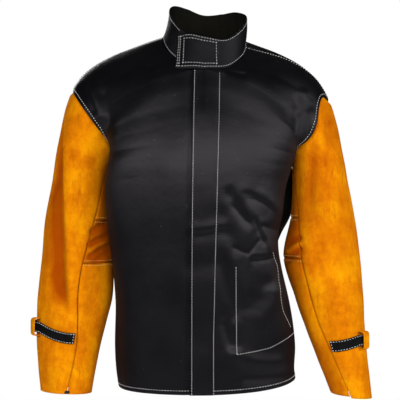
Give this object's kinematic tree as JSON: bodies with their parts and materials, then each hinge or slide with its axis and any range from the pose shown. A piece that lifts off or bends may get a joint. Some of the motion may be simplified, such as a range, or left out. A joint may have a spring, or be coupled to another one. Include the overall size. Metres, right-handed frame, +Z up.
{
  "type": "welding jacket",
  "caption": "Welder's jacket as worn: black cotton body with a stand collar, lapped collar tab and covered front, and leather sleeves with strapped cuffs.",
  "frame": {"origin": "middle of the neck hole, level with the tops of the shoulders that carry the jacket", "axes": "+Z up along the body, front towards -Y, wearer's left towards +X"},
  "size_m": [0.7139, 0.2753, 0.8298],
  "materials": {
    "black_cotton": "smooth flame-resistant cotton sateen with a soft sheen",
    "gold_leather": "napped split cowhide, mottled golden orange",
    "black_strap": "woven black strap with stitched edges"
  },
  "bodies": {
    "root": {"front_right": "black_cotton", "front_left": "black_cotton", "back": "black_cotton", "collar": "black_cotton", "storm_flap": "black_cotton", "pocket_bag": "black_cotton", "right_top_sleeve": "gold_leather", "right_under_sleeve_upper": "gold_leather", "right_under_sleeve_middle": "gold_leather", "right_under_sleeve_lower": "gold_leather", "left_top_sleeve": "gold_leather", "left_under_sleeve_upper": "gold_leather", "left_under_sleeve_middle": "gold_leather", "left_under_sleeve_lower": "gold_leather", "right_cuff_strap": "black_strap", "left_cuff_strap": "black_strap", "right_strap_keeper": "gold_leather", "left_strap_keeper": "gold_leather"}
  },
  "joints": []
}
